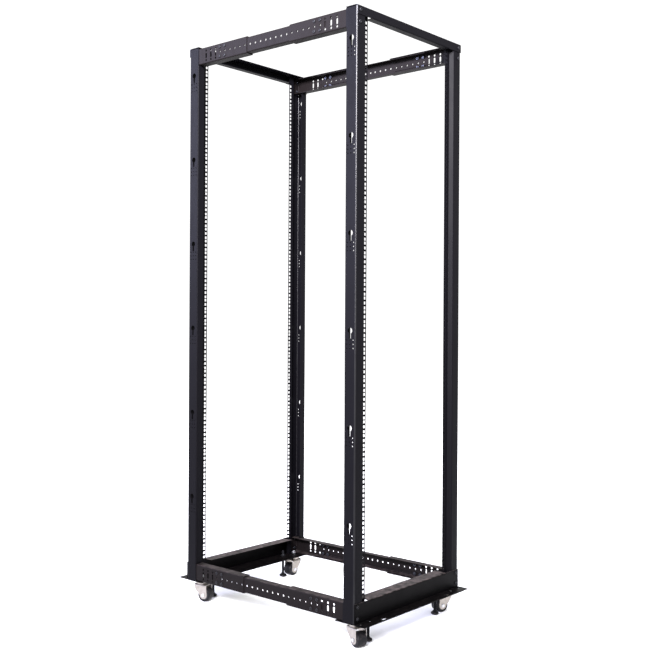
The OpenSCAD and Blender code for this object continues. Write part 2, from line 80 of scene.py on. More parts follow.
# %% [markdown]
# ## Floor and light
# The rack stands in a white studio: a pale floor, an even white surround, and two square softboxes.
# The key lamp is high, behind the camera and a little to its left; a cooler panel stands on the
# left. Bare lamps would light a post more evenly from top to foot. A grid on each softbox keeps its
# light in a cone, so that the top of the rack is brighter than its casters.

# %% Floor and light
def plain_floor(size):
    """A square of side 2 size at height 0, with one face."""
    corner = np.array([[-1, -1, 0], [1, -1, 0], [1, 1, 0], [-1, 1, 0]], float) * size
    mesh = bpy.data.meshes.new("floor")
    mesh.from_pydata(corner.tolist(), [], [(0, 1, 2, 3)])
    floor = bpy.data.objects.new("floor", mesh)
    bpy.context.scene.collection.objects.link(floor)
    return floor


def soft_lamp(name, place, aim, size, watts, colour, spread):
    """A square softbox at place, turned towards aim. Its grid keeps the light within spread degrees."""
    data = bpy.data.lights.new(name, "AREA")
    data.size, data.energy, data.color = size, watts, colour
    data.spread = math.radians(spread)
    lamp = bpy.data.objects.new(name, data)
    bpy.context.scene.collection.objects.link(lamp)
    lamp.location = place
    lamp.rotation_mode = "QUATERNION"
    lamp.rotation_quaternion = (Vector(aim) - Vector(place)).to_track_quat("-Z", "Y")
    print(name, watts, "W in a cone of", spread, "degrees")


FLOOR_HALF = 60.0
SURROUND_STRENGTH = 1.18

floor = plain_floor(FLOOR_HALF)
soft_lamp("key_lamp", place=(-4.4, -2.6, 3.7), aim=(0.0, 0.0, 2.0), size=2.0, watts=200.0,
          colour=(0.96, 0.94, 1.0), spread=44.0)
soft_lamp("side_panel", place=(-3.6, 3.2, 2.9), aim=(0.0, 0.0, 1.6), size=2.6, watts=115.0,
          colour=(0.70, 0.72, 1.0), spread=80.0)

world = bpy.data.worlds.new("white_studio")
world.use_nodes = True
surround = world.node_tree.nodes["Background"]
surround.inputs["Color"].default_value = (1.0, 1.0, 1.0, 1.0)
surround.inputs["Strength"].default_value = SURROUND_STRENGTH
bpy.context.scene.world = world
bpy.context.scene.view_settings.view_transform = "Standard"

# %% [markdown]
# ## Writing shader maths as expressions
# A powder coat is a recipe: a fine bump, a slow drift of tone, and grey on what faces up,
# partly dust and partly a painted reflection. Written as node links it is hard to read, so a
# small class wraps a socket and turns + - * into Math nodes, and one method of Finish adds any
# other node.

# %% Wires and finishes
BEND_STARTS = 0.0050
BEND_IS_FULL = 0.0035


class Wire:
    """One number that varies over a surface. Arithmetic on it adds Math nodes to its finish."""

    def __init__(self, finish, socket):
        self.finish, self.socket = finish, socket

    def _math(self, operation, first, second):
        return self.finish.node("ShaderNodeMath", {0: first, 1: second}, operation=operation)

    def __add__(self, other):
        return self._math("ADD", self, other)

    def __radd__(self, other):
        return self._math("ADD", other, self)

    def __sub__(self, other):
        return self._math("SUBTRACT", self, other)

    def __rsub__(self, other):
        return self._math("SUBTRACT", other, self)

    def __mul__(self, other):
        return self._math("MULTIPLY", self, other)

    def __rmul__(self, other):
        return self._math("MULTIPLY", other, self)


class Finish:
    """A material under construction: a principled shader with constants, plus what varies."""

    def __init__(self, name, **constants):
        self.material = bpy.data.materials.new(name)
        self.material.use_nodes = True
        self.tree = self.material.node_tree
        self.shader = self.tree.nodes["Principled BSDF"]
        for socket, value in constants.items():
            self.shader.inputs[socket.replace("_", " ")].default_value = value

    def node(self, kind, inputs=None, output=0, **settings):
        """Adds a node, sets it up, links or fills its sockets, and returns one output as a Wire."""
        made = self.tree.nodes.new(kind)
        for key, value in settings.items():
            setattr(made, key, value)
        for key, value in (inputs or {}).items():
            if isinstance(value, Wire):
                self.tree.links.new(value.socket, made.inputs[key])
            else:
                made.inputs[key].default_value = value
        return Wire(self, made.outputs[output])

    def place(self):
        """The point on the object, in metres, before any pose."""
        return self.node("ShaderNodeTexCoord", output="Object")

    def noise(self, scale, detail=2.0, roughness=0.5, stretch=(1.0, 1.0, 1.0)):
        """Noise from 0 to 1, with scale blobs to the metre, stretched along an axis if asked."""
        spot = self.node("ShaderNodeMapping", {"Vector": self.place(), "Scale": stretch})
        return self.node("ShaderNodeTexNoise",
                         {"Vector": spot, "Scale": scale, "Detail": detail, "Roughness": roughness})

    def step(self, value, low, high):
        """0 below low, 1 above high, and a smooth rise between."""
        return self.node("ShaderNodeMapRange", {"Value": value, "From Min": low, "From Max": high},
                         interpolation_type="SMOOTHSTEP")

    def mix(self, amount, first, second):
        """The colour first where amount is 0, and second where it is 1. A Mix node's sockets 6
        and 7 are its two colours, and its output 2 is the mixed colour."""
        return self.node("ShaderNodeMix", {"Factor": amount, 6: first, 7: second}, output=2,
                         data_type="RGBA")

    def upright_bend(self, half_width, half_depth):
        """1 in a strip round the upright edge at half_width in X and half_depth in Y, in all four
        corners, and 0 elsewhere. ABSOLUTE folds the four corners into one."""
        x = self.node("ShaderNodeSeparateXYZ", {0: self.place()}, output="X")
        y = self.node("ShaderNodeSeparateXYZ", {0: self.place()}, output="Y")
        out_x = self.node("ShaderNodeMath", {0: x}, operation="ABSOLUTE")
        out_y = self.node("ShaderNodeMath", {0: y}, operation="ABSOLUTE")
        return (self.step(out_x, half_width - BEND_STARTS, half_width - BEND_IS_FULL)
                * self.step(out_y, half_depth - BEND_STARTS, half_depth - BEND_IS_FULL))

    def facing_up(self):
        """1 on faces that point up, 0 on upright faces and undersides."""
        normal = self.node("ShaderNodeNewGeometry", output="Normal")
        height = self.node("ShaderNodeSeparateXYZ", {0: normal}, output="Z")
        return self.step(height, 0.5, 0.95)

    def bump(self, height, depth):
        """Raises the surface by height times depth, in metres."""
        bumped = self.node("ShaderNodeBump", {"Height": height, "Distance": depth, "Strength": 1.0})
        self.tree.links.new(bumped.socket, self.shader.inputs["Normal"])

    def link(self, **sockets):
        """Links wires to the shader's own sockets."""
        for socket, value in sockets.items():
            self.tree.links.new(value.socket, self.shader.inputs[socket.replace("_", " ")])
        return self.material


# %% [markdown]
# ## Powder coat
# The posts, beams, rails and plates are sprayed with black powder that is baked to a hard skin. It
# has three scales of detail: a grain of about a millimetre that breaks up reflections, a slow drift
# in tone and gloss from uneven thickness, and a warm grey on what faces up, partly dust that
# settles there and partly a painted reflection of the bright surround. The posts'
# outer bends carry a thin bright line. A paler colour there would brighten it from every side
# alike. A clear, smoother layer brightens most where it mirrors a lamp, so it is made that way.

# %% Powder coat
def colour(red, green, blue):
    return (red, green, blue, 1.0)


# Warm grey of settled dust; on the powder coats' upward faces it is also a painted reflection of the
# bright surround.
DUST_AND_SHEEN = colour(0.135, 0.108, 0.106)


def powder_coat(name, tone, gloss, dust_and_sheen, bend=None):
    """Tone drifts by about 15 % either way, roughness varies round 1 - gloss, and dust_and_sheen is
    the most grey that covers an upward face: partly settled dirt, partly a painted reflection of the
    bright surround. The grain is two noises, with blobs of 0.9 mm and 0.3 mm. bend is where the
    upright edges with a clear layer stand, as half a width and half a depth."""
    coat = Finish(name, IOR=1.5, Specular_IOR_Level=0.04, Coat_Roughness=0.34)
    drift = coat.noise(5.0, 4.0, 0.55)
    grain = coat.noise(1100.0, 2.0)
    pits = coat.noise(3300.0, 1.0)
    smear = coat.step(coat.noise(22.0, 5.0, 0.65, (1.0, 1.0, 0.35)), 0.42, 0.72)
    dark = colour(*(part * 0.86 for part in tone))
    light = colour(*(part * 1.16 for part in tone))
    skin = coat.mix(drift, dark, light)
    # Grey on upward faces: partly settled dust and partly a painted reflection of the bright surround.
    top_dust_and_sheen = coat.facing_up() * coat.step(coat.noise(60.0, 4.0, 0.6), 0.30, 0.75) * dust_and_sheen
    dusty_and_sheened = coat.mix(top_dust_and_sheen, skin, DUST_AND_SHEEN)
    coat.bump(grain * 0.75 + pits * 0.25, 0.00006)
    rough = (1.0 - gloss) + (drift - 0.5) * 0.10 + smear * 0.07 + (grain - 0.5) * 0.10
    if bend:
        coat.link(Coat_Weight=coat.upright_bend(*bend) * (smear * -0.2 + 0.5))
    return coat.link(Base_Color=dusty_and_sheened, Roughness=rough + top_dust_and_sheen * 0.2)


POST_TONE = (0.0028, 0.0026, 0.0036)
RAIL_TONE = (0.0062, 0.0050, 0.0052)
# The base beams' and foot plates' tones are darker than the posts' as painted shade on the same black
# coat; the plates also get little of the top grey, as painted shade.
BEAM_SHADED_TONE = (0.0010, 0.0008, 0.0010)
PLATE_SHADED_TONE = (0.0008, 0.0007, 0.0009)
POST_EDGE = (0.300, 0.397)
post_coat = powder_coat("post_powder_coat", POST_TONE, gloss=0.56, dust_and_sheen=0.10, bend=POST_EDGE)
rail_coat = powder_coat("rail_powder_coat", RAIL_TONE, gloss=0.54, dust_and_sheen=0.30)
beam_coat = powder_coat("beam_powder_coat", BEAM_SHADED_TONE, gloss=0.60, dust_and_sheen=0.62)
plate_coat = powder_coat("plate_powder_coat", PLATE_SHADED_TONE, gloss=0.62, dust_and_sheen=0.04)
print("powder coats", [m.name for m in (post_coat, rail_coat, beam_coat, plate_coat)])

# %% [markdown]
# ## Zinc, black oxide, rubber and plastic
# Small parts have their own finishes. Zinc plating is slightly streaked, with a cloudy bloom: it is
# bright on the caster stems and axles; on the forks it has a darker colour and on the nuts a
# near-black one, as painted shade. Black oxide is
# oily steel that is nearly black; tyre rubber is matt and picks up dust; the feet and hubs are
# moulded plastic with a faint grain. One function for each kind, with numbers for its shades,
# keeps the pieces of one kind alike.

# %% Finishes of the small parts
def zinc_plate(name, bright, rough_low):
    """Metal whose roughness rises in cloudy patches, with fine streaks along one axis."""
    zinc = Finish(name, Metallic=1.0)
    cloud = zinc.noise(90.0, 4.0, 0.6)
    streak = zinc.noise(1400.0, 2.0, 0.5, (1.0, 1.0, 0.12))
    tint = zinc.mix(zinc.step(cloud, 0.35, 0.70), colour(*bright),
                    colour(*(part * 0.84 for part in bright)))
    zinc.bump(streak, 0.00001)
    return zinc.link(Base_Color=tint, Roughness=cloud * 0.22 + streak * 0.10 + rough_low)


def black_oxide(name):
    """Oiled black steel: nearly black, with a patchy sheen."""
    oxide = Finish(name, Metallic=0.15, Specular_IOR_Level=0.12)
    patch = oxide.noise(260.0, 3.0, 0.6)
    tint = oxide.mix(patch, colour(0.006, 0.006, 0.008), colour(0.018, 0.018, 0.020))
    oxide.bump(oxide.noise(2200.0, 1.0), 0.00001)
    return oxide.link(Base_Color=tint, Roughness=patch * 0.25 + 0.22)


def moulded(name, tone, rough, dust_and_sheen, grain_size, grain_depth):
    """Rubber or plastic: an even tone under a little dust, with a moulded grain."""
    skin = Finish(name, IOR=1.48, Specular_IOR_Level=0.15)
    patch = skin.noise(70.0, 4.0, 0.6)
    worn = skin.step(patch, 0.45, 0.80) * dust_and_sheen
    tint = skin.mix(worn, colour(*tone), DUST_AND_SHEEN)
    skin.bump(skin.noise(1.0 / grain_size, 2.0), grain_depth)
    return skin.link(Base_Color=tint, Roughness=(patch - 0.5) * 0.16 + rough)


bright_zinc = zinc_plate("bright_zinc", (0.62, 0.63, 0.66), 0.14)
# The nuts' zinc is darkened nearly to black, as painted shade.
darkened_nut_zinc = zinc_plate("nut_zinc_in_painted_shade", (0.070, 0.075, 0.095), 0.26)
# The forks' zinc is darker than the stems', as painted shade.
darkened_fork_zinc = zinc_plate("pressed_zinc", (0.37, 0.34, 0.31), 0.22)
oxide_black = black_oxide("black_oxide")
tyre_rubber = moulded("tyre_rubber", (0.006, 0.006, 0.007), 0.48, 0.16, 0.0012, 0.00006)
hub_plastic = moulded("hub_plastic", (0.050, 0.050, 0.055), 0.45, 0.20, 0.0006, 0.00003)
foot_plastic = moulded("foot_plastic", (0.004, 0.004, 0.005), 0.42, 0.12, 0.0007, 0.00004)


# %% [markdown]
# ## Coating the sheet metal
# Bent sheet with its bends, holes and slots is already right in the CAD model. It could be built
# again, but that would only repeat it, so these meshes stay and get a material each.

# %% Coats on the sheet metal
def coat_nodes(material, words):
    """Gives the material to every CAD node whose name holds one of the words."""
    chosen = [o for n, o in frame["nodes"].items() if any(word in n for word in words)]
    for o in chosen:
        o.data.materials.clear()
        o.data.materials.append(material)
    print(material.name, "on", len(chosen), "nodes")


coat_nodes(post_coat, ("post_", "top_beam_"))
coat_nodes(rail_coat, ("_rail_", "slide_bar_"))
coat_nodes(beam_coat, ("base_beam_",))
coat_nodes(plate_coat, ("foot_plate_",))

# %% [markdown]
# ## Surfaces on a grid
# Everything new is a tube: rows of points round an axis, each row closed into a ring, and a fan of
# triangles over each end. The rows can be circles (turned parts), hexagons (nuts) or any outline
# (pressed parts), so a few helpers make all the pieces.

# %% Grid helpers
MM = 0.001
TURN = 2 * np.pi


def tube(rows):
    """Closed surface through rows, an array (rows, columns, 3): quads between neighbouring rows,
    the last column joined to the first, and a fan to each end row's mean point."""
    n, m = rows.shape[:2]
    points = np.concatenate([rows.reshape(-1, 3), rows[:1].mean(1), rows[-1:].mean(1)])
    here = np.arange(n * m).reshape(n, m)
    right = np.roll(here, -1, axis=1)
    quads = np.stack([here[:-1], right[:-1], right[1:], here[1:]], -1).reshape(-1, 4)
    first = np.stack([right[0], here[0], np.full(m, n * m)], -1)
    last = np.stack([here[-1], right[-1], np.full(m, n * m + 1)], -1)
    return outward(points, [quads, first, last])


def closed_ring(rows):
    """Closed surface through rows, as on a doughnut: the last column is joined to the first,
    and the last row to the first."""
    here = np.arange(rows.shape[0] * rows.shape[1]).reshape(rows.shape[:2])
    up, right = np.roll(here, -1, axis=0), np.roll(here, -1, axis=1)
    quads = np.stack([here, right, np.roll(up, -1, axis=1), up], -1).reshape(-1, 4)
    return outward(rows.reshape(-1, 3), [quads])


def outward(points, faces):
    """Turns all faces over if the volume that they enclose is negative. The volume is the sum
    of the triple products of each face's corners, in fans of triangles."""
    volume = 0.0
    for block in faces:
        for k in range(1, block.shape[1] - 1):
            a, b, c = points[block[:, 0]], points[block[:, k]], points[block[:, k + 1]]
            volume += np.einsum("ij,ij->", a, np.cross(b, c))
    return points, faces if volume > 0 else [block[:, ::-1] for block in faces]


def ring(columns):
    """Angles of the columns of a row, in radians."""
    return np.arange(columns) / columns * TURN


def lathe(profile, columns=48, shape=None):
    """Turned part on Z. profile is a list of (radius, height); shape(angle, radius, height)
    may change the radius, as for a hexagon."""
    r, z = np.array(profile, float).T
    angle = ring(columns)
    radius = np.broadcast_to(r[:, None], (len(r), columns))
    if shape is not None:
        radius = shape(angle[None, :], radius, z[:, None])
    rows = np.stack([radius * np.cos(angle), radius * np.sin(angle),
                     np.broadcast_to(z[:, None], radius.shape)], -1)
    return tube(rows)


def arc(centre, radius, start, end, steps):
    """Points (radius, height) on an arc in a profile, with angles in degrees."""
    a = np.radians(np.linspace(start, end, steps))
    return [(centre[0] + radius * math.cos(x), centre[1] + radius * math.sin(x)) for x in a]


def hexagon(angle):
    """How far a hexagon's side lies from its middle, over half its width across flats:
    1 / cos of the angle from the nearest flat's middle."""
    return 1 / np.cos((angle + np.pi / 6) % (np.pi / 3) - np.pi / 6)


def put(shape, origin, x_axis, y_axis, z_axis):
    """Moves a shape from its own axes into the rack's: point = origin + x X + y Y + z Z."""
    points, faces = shape
    moved = points @ np.array([x_axis, y_axis, z_axis], float) + np.array(origin, float)
    return outward(moved, faces)


def axes_along(direction):
    """Three axes at right angles, the last along direction."""
    z = np.array(direction, float) / np.linalg.norm(direction)
    x = np.cross([0.0, 0.0, 1.0] if abs(z[2]) < 0.9 else [1.0, 0.0, 0.0], z)
    x /= np.linalg.norm(x)
    return x, np.cross(z, x), z


def add_piece(name, shapes, material, body, stands_for=(), sharp=35.0):
    """One object from one or more shapes, at the origin, smooth but for edges over sharp degrees."""
    points = np.concatenate([p for p, _ in shapes])
    starts = np.cumsum([0] + [len(p) for p, _ in shapes[:-1]])
    blocks = [block + start for (_, faces), start in zip(shapes, starts) for block in faces]
    sizes = np.concatenate([np.full(len(block), block.shape[1]) for block in blocks])
    mesh = bpy.data.meshes.new(name)
    mesh.vertices.add(len(points))
    mesh.vertices.foreach_set("co", points.astype(np.float32).ravel())
    mesh.loops.add(int(sizes.sum()))
    corners = np.concatenate([block.ravel() for block in blocks])
    mesh.loops.foreach_set("vertex_index", corners.astype(np.int32))
    mesh.polygons.add(len(sizes))
    loop_starts = np.concatenate([[0], np.cumsum(sizes)[:-1]])
    mesh.polygons.foreach_set("loop_start", loop_starts.astype(np.int32))
    mesh.polygons.foreach_set("use_smooth", np.ones(len(sizes), bool))
    mesh.update(calc_edges=True)
    mesh.validate()
    mesh.set_sharp_from_angle(angle=math.radians(sharp))
    piece = bpy.data.objects.new(name, mesh)
    bpy.context.scene.collection.objects.link(piece)
    mesh.materials.append(material)
    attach(piece, body)
    if stands_for:
        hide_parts(*stands_for)
    return piece


# %% [markdown]
# ## Finding the screws
# The CAD groups identical screws in one node. Each screw is a separate solid, so its box is found
# by spreading a label over triangles that share a corner, until nothing changes.

# %% The solids in a node
def solids(node):
    """(low corner, high corner) of each separate solid in a CAD node, in metres."""
    mesh = frame["nodes"][node].data
    co = np.empty(len(mesh.vertices) * 3, np.float32)
    mesh.vertices.foreach_get("co", co)
    co = co.reshape(-1, 3).astype(float)
    corners = np.empty(len(mesh.loops), np.int32)
    mesh.loops.foreach_get("vertex_index", corners)
    _, point = np.unique(np.round(co / (0.01 * MM)).astype(np.int64), axis=0, return_inverse=True)
    triangles = point.reshape(-1)[corners].reshape(-1, 3)
    label = np.arange(triangles.max() + 1)
    while True:
        least = label[triangles].min(1)
        spread = label.copy()
        for k in range(3):
            np.minimum.at(spread, triangles[:, k], least)
        if (spread == label).all():
            break
        label = spread
    owner = label[point.reshape(-1)]
    return [(co[owner == k].min(0), co[owner == k].max(0)) for k in np.unique(owner)]


# %% [markdown]
# ## Screws
# The frame is held by M6 button-head screws: a low dome with a hexagon socket. The socket is part of
# the same turned surface: the rows inside it are pulled to a hexagon, and the rows outside are round.

# %% Button-head screws
M6_R = 3 * MM
HEAD_H = 3.6 * MM


def thread(pitch, depth):
    """A right-handed thread as a change of radius: a triangle wave of height over pitch minus
    turn."""
    def cut(angle, radius, height):
        phase = (height / pitch - angle / TURN) % 1.0
        return radius - depth * np.abs(2 * phase - 1)
    return cut


def button_screw(head_r, head_h, shaft_r, length):
    """Head above height 0 and shaft below it. The dome is an arc from the rim to the socket;
    the socket is 2.2 mm deep and its wall is a hexagon."""
    socket = head_r * 0.40
    floor_z = head_h - 2.2 * MM
    top_r = head_r * 0.52
    rim = 0.9 * MM
    dome = [(head_r - (head_r - top_r) * (1 - math.cos(a)), rim + (head_h - rim) * math.sin(a))
            for a in np.linspace(0, np.pi / 2, 9)]
    shaft = [(shaft_r * 0.7, -length), (shaft_r, -length + 0.8 * MM), (shaft_r, 0.0)]
    under = [(head_r - 0.3 * MM, 0.0), (head_r, 0.3 * MM)]
    mouth = [(socket * 1.15, head_h)]
    wall = [(socket, head_h - 0.25 * MM), (socket, floor_z), (socket * 0.3, floor_z - 0.4 * MM)]
    profile = shaft + under + dome + mouth + wall

    def pull(angle, radius, height):
        inside = (np.arange(len(profile)) >= len(profile) - len(wall))[:, None]
        return np.where(inside, radius * hexagon(angle), radius)

    return lathe(profile, 48, pull)


def screw_group(name, node, body, axis):
    """One button screw for each solid of the node, its head on the side away from the middle."""
    shapes = []
    for low, high in solids(node):
        middle, size = (low + high) / 2, high - low
        out = np.zeros(3)
        out[axis] = math.copysign(1.0, middle[axis])
        seat = middle + out * (size[axis] / 2 - HEAD_H)
        screw = button_screw(size[2] / 2, HEAD_H, M6_R, size[axis] - HEAD_H)
        shapes.append(put(screw, seat, *axes_along(out)))
    return add_piece(name, shapes, oxide_black, body, [node])


for end in ("front", "rear"):
    screw_group(f"corner_button_screws_{end}", f"corner_screws_{end}", f"{end}_frame", 1)
    screw_group(f"clamp_button_screws_{end}", f"clamp_screws_{end}", f"{end}_frame", 0)


# %% [markdown]
# ## Nuts
# A nut is a hexagon whose corners are turned off in a cone at both faces. As a surface: the radius is
# the smaller of the hexagon's and the cone's. The bore is a real hole, so the surface is a ring: the
# profile goes up the outside and down the inside, and its last row meets its first.

# %% Nuts
def hollow(profile, columns, shape):
    """A ring on Z: like lathe, but the profile is closed, so that there is a bore."""
    r, z = np.array(profile, float).T
    angle = ring(columns)
    radius = shape(angle[None, :], np.broadcast_to(r[:, None], (len(r), columns)), z[:, None])
    return closed_ring(np.stack([radius * np.cos(angle), radius * np.sin(angle),
                                 np.broadcast_to(z[:, None], radius.shape)], -1))


def hex_nut(across_flats, height, bore, steps=5):
    """The chamfer takes the corners down to the width across flats over a sixth of the height."""
    flat = across_flats / 2
    corner = flat / math.cos(np.pi / 6)
    bevel = height / 6
    rise = np.linspace(0, 1, steps)
    up = [(flat * 0.97, 0.0)] + [(flat + (corner - flat) * t, bevel * t) for t in rise]
    down = [(r, height - z) for r, z in reversed(up)]
    inner = [(bore * 1.12, height), (bore, height - bore * 0.12),
             (bore, bore * 0.12), (bore * 1.12, 0.0)]
    profile = up + down + inner
    outside = (np.arange(len(profile)) < len(up) + len(down))[:, None]

    def trim(angle, radius, z):
        return np.where(outside, np.minimum(radius, flat * hexagon(angle)), radius)

    return hollow(profile, 48, trim)


FOOT_NUT_BORE = 5.2 * MM


def nut_group(name, node, body, axis, bore, material):
    """One nut for each solid of the node, as tall and wide as the solid."""
    shapes = []
    for low, high in solids(node):
        size = high - low
        out = np.zeros(3)
        out[axis] = 1.0
        across = min(size[k] for k in range(3) if k != axis)
        base = (low + high) / 2 - out * size[axis] / 2
        shapes.append(put(hex_nut(across, size[axis], bore), base, *axes_along(out)))
    return add_piece(name, shapes, material, body, [node])


for end in ("front", "rear"):
    body = f"{end}_frame"
    nut_group(f"corner_hex_nuts_{end}", f"corner_nuts_{end}", body, 1, M6_R, darkened_nut_zinc)
    nut_group(f"clamp_hex_nuts_{end}", f"clamp_nuts_{end}", body, 0, M6_R, darkened_nut_zinc)
    nut_group(f"foot_lock_nuts_{end}", f"foot_nuts_{end}", body, 2, FOOT_NUT_BORE, oxide_black)

# %% [markdown]
# ## Casters
# A caster is five pieces: a stem with a ball race under the plate, a fork pressed from one sheet, an
# axle bolt, a hub and a tyre. The fork is the interesting one. Unfolded, it is a strip that runs down
# one leg and up the other, so its surface has two parameters: the way along the strip, over a
# U-shaped line, and the way across it, from the leading edge to the trailing one.

# %% Caster places
CORNERS = ("front_left", "front_right", "rear_left", "rear_right")
joints = {j["name"]: j for j in frame["joints"]}


def caster_axes(corner):
    """From the joints: swivel point on the floor, trail direction, axle direction, trail length
    and axle height."""
    swivel = np.array(joints[f"swivel_{corner}"]["pos_m"], float)
    axle = np.array(joints[f"wheel_{corner}"]["pos_m"], float)
    trail = np.array([axle[0] - swivel[0], axle[1] - swivel[1], 0.0])
    length = np.linalg.norm(trail)
    along = trail / length
    axle_way = np.cross([0.0, 0.0, 1.0], along)
    return np.array([swivel[0], swivel[1], 0.0]), along, axle_way, length, axle[2]


WHEEL_R = 25.4 * MM
WHEEL_HALF = 18.0 * MM
FORK_HALF = 19.5 * MM
FORK_THICK = 2.5 * MM
SADDLE_LOW = 62.0 * MM
SADDLE_TOP = SADDLE_LOW + FORK_THICK
SADDLE_LEAD = -22.0 * MM
SADDLE_BACK = 27.0 * MM
CROWN_TOP = 76.5 * MM
PLATE_Z = 81.0 * MM


# %% Tyre and hub
def tyre():
    """Ring on Z: a crowned tread between rounded shoulders, and side walls with a raised bead."""
    shoulder = 5.0 * MM
    side = WHEEL_HALF
    tread = [(WHEEL_R - 0.5 * MM * (y / (side - shoulder)) ** 2, y)
             for y in np.linspace(-(side - shoulder), side - shoulder, 13)]
    low = arc((WHEEL_R - 0.5 * MM - shoulder, -(side - shoulder)), shoulder, -90, 0, 7)
    high = [(r, -z) for r, z in reversed(low)]
    bead = [(19.2 * MM, side), (18.6 * MM, side - 0.6 * MM), (16.5 * MM, side - 0.6 * MM)]
    profile = [(r, -z) for r, z in reversed(bead)] + low[:-1] + tread + high[1:] + bead
    return hollow(profile, 72, lambda angle, radius, z: radius)


def hub():
    """Disc on Z with a bore: a rim, a recessed web with eight ribs, and a boss round the axle."""
    half = WHEEL_HALF - 0.6 * MM
    radii = np.array([4.05, 7.0, 7.6, 8.4, 14.0, 14.7, 15.4, 16.5]) * MM
    depth = np.array([0.0, 0.0, 0.6, 3.6, 3.6, 1.4, 0.0, 0.0]) * MM
    angle = ring(96)
    rib = np.clip(1.6 * np.cos(8 * angle) - 0.75, 0, 1)
    face = half - depth[:, None] * (1 - 0.8 * rib[None, :] * (depth[:, None] > 2 * MM))
    x, y = np.cos(angle), np.sin(angle)
    front = np.stack([radii[:, None] * x, radii[:, None] * y, face], -1)
    back = front[::-1] * np.array([1.0, 1.0, -1.0])
    return closed_ring(np.concatenate([front, back]))


# %% Pressed fork
AXLE_Z = joints["wheel_front_left"]["pos_m"][2]
BOSS_R = 13.5 * MM
FORK_LOW = AXLE_Z - BOSS_R


def fork_line(steps):
    """Middle line of the U, from the bottom of one leg over the saddle to the other: arrays of
    the way across the axle and the height. The bends are quarter circles."""
    bend = 6.0 * MM
    half = FORK_HALF + FORK_THICK / 2
    top = SADDLE_LOW + FORK_THICK / 2
    leg = FORK_LOW + (top - bend - FORK_LOW) * (1 - np.cos(np.linspace(0, np.pi / 2, steps)))
    quarter = np.linspace(0, np.pi / 2, 7)[1:]
    side = np.concatenate([np.full(steps, half), half - bend + bend * np.cos(quarter)])
    height = np.concatenate([leg, top - bend + bend * np.sin(quarter)])
    return np.concatenate([-side, side[::-1]]), np.concatenate([height, height[::-1]])


def leg_edges(height, trail):
    """Leading and trailing edge of the leg at each height: a half circle round the axle at the
    bottom, then straight lines that spread to the saddle's width, easing in."""
    below = np.clip(height, FORK_LOW, AXLE_Z)
    circle = np.sqrt(np.maximum(BOSS_R ** 2 - (below - AXLE_Z) ** 2, 0))
    rise = np.clip((height - AXLE_Z) / (SADDLE_LOW - AXLE_Z), 0, 1)
    lead = trail - circle + (SADDLE_LEAD - trail + BOSS_R) * (1 - (1 - rise) ** 1.6)
    rear = trail + circle + (SADDLE_BACK - trail - BOSS_R) * rise
    return lead, rear


def pressed_fork(trail):
    """Closed sheet: at each point of the U line, a cross-section goes round the strip. Its two
    flat sides are pushed half the thickness each way along the line's normal, and its two ends
    are half circles. shift is the way across the strip, from 0 at the lead to 1 at the rear."""
    across, height = fork_line(16)
    lead, rear = leg_edges(height, trail)
    step = np.gradient(np.stack([across, height], -1), axis=0)
    normal = np.stack([-step[:, 1], step[:, 0]], -1) / np.linalg.norm(step, axis=1, keepdims=True)
    turn = np.linspace(0, np.pi, 5)
    half = FORK_THICK / 2
    shift = np.concatenate([np.linspace(0.04, 0.96, 9), np.full(5, 1.0),
                            np.linspace(0.96, 0.04, 9), np.full(5, 0.0)])
    bulge = np.concatenate([np.zeros(9), np.sin(turn), np.zeros(9), -np.sin(turn)])
    push = np.concatenate([np.full(9, 1.0), np.cos(turn), np.full(9, -1.0), -np.cos(turn)])
    width = rear - lead
    x = lead[:, None] + width[:, None] * shift + bulge * np.minimum(half, width[:, None] / 2)
    y = across[:, None] + normal[:, :1] * push * half
    z = height[:, None] + normal[:, 1:] * push * half
    return tube(np.stack([x, y, z], -1))


def crown():
    """Turned ball race on top of the fork: a plate, a swelling that holds the balls, a lip."""
    low = SADDLE_TOP - 0.3 * MM
    return lathe([(10 * MM, low), (21.0 * MM, low), (21.2 * MM, low + 1.8 * MM)]
                 + arc((19.6 * MM, low + 6.6 * MM), 5.2 * MM, -65, 70, 13)
                 + [(20.6 * MM, CROWN_TOP), (5.0 * MM, CROWN_TOP)], 72)


# %% Stem, axle and assembly of each caster
def caster_stem():
    """On Z: race plate under the foot plate, threaded stem above it, king-pin rivet below."""
    race = lathe([(6 * MM, 77 * MM), (22.4 * MM, 77 * MM)]
                 + arc((22.4 * MM, 77.9 * MM), 0.9 * MM, -60, 60, 5)
                 + [(22.2 * MM, 79 * MM), (23.4 * MM, 79.6 * MM), (24 * MM, 80.2 * MM),
                    (24 * MM, PLATE_Z), (5 * MM, PLATE_Z)], 72)
    heights = np.linspace(PLATE_Z, 95 * MM, 57)
    stem = lathe([(5 * MM, z) for z in heights] + [(4.2 * MM, 95.1 * MM)], 24,
                 thread(1.5 * MM, 0.5 * MM))
    points, faces = hex_nut(17 * MM, 8 * MM, 4.6 * MM)
    nut = (points + np.array([0, 0, 84 * MM]), faces)
    pin = lathe([(5.5 * MM, 59.0 * MM), (6.8 * MM, 59.6 * MM), (7 * MM, 60.6 * MM),
                 (6.4 * MM, 61.4 * MM), (4 * MM, 61.4 * MM), (4 * MM, 77 * MM)], 32)
    return [race, stem, nut, pin]


def axle_bolt(half):
    """On Z: a bolt through both legs, with a hexagon head on one side, and a washer and a lock
    nut on the other. The head is a nut mirrored in Z, so the order of its corners is reversed."""
    shaft = lathe([(3.9 * MM, -half - 2.6 * MM), (4 * MM, -half), (4 * MM, half),
                   (3.6 * MM, half + 3 * MM)], 32)
    head = hex_nut(11.2 * MM, 3 * MM, 3.4 * MM)
    lock = hex_nut(11.2 * MM, 3 * MM, 3.7 * MM)
    washer = hollow([(4.1 * MM, 0), (6.45 * MM, 0), (6.45 * MM, 0.7 * MM), (4.1 * MM, 0.7 * MM)],
                    40, lambda angle, radius, z: radius)
    lift = np.array([0, 0, half])
    mirrored = (head[0] * [1, 1, -1] - lift, [block[:, ::-1] for block in head[1]])
    return [shaft, mirrored, (lock[0] + lift, lock[1]), (washer[0] + lift, washer[1])]


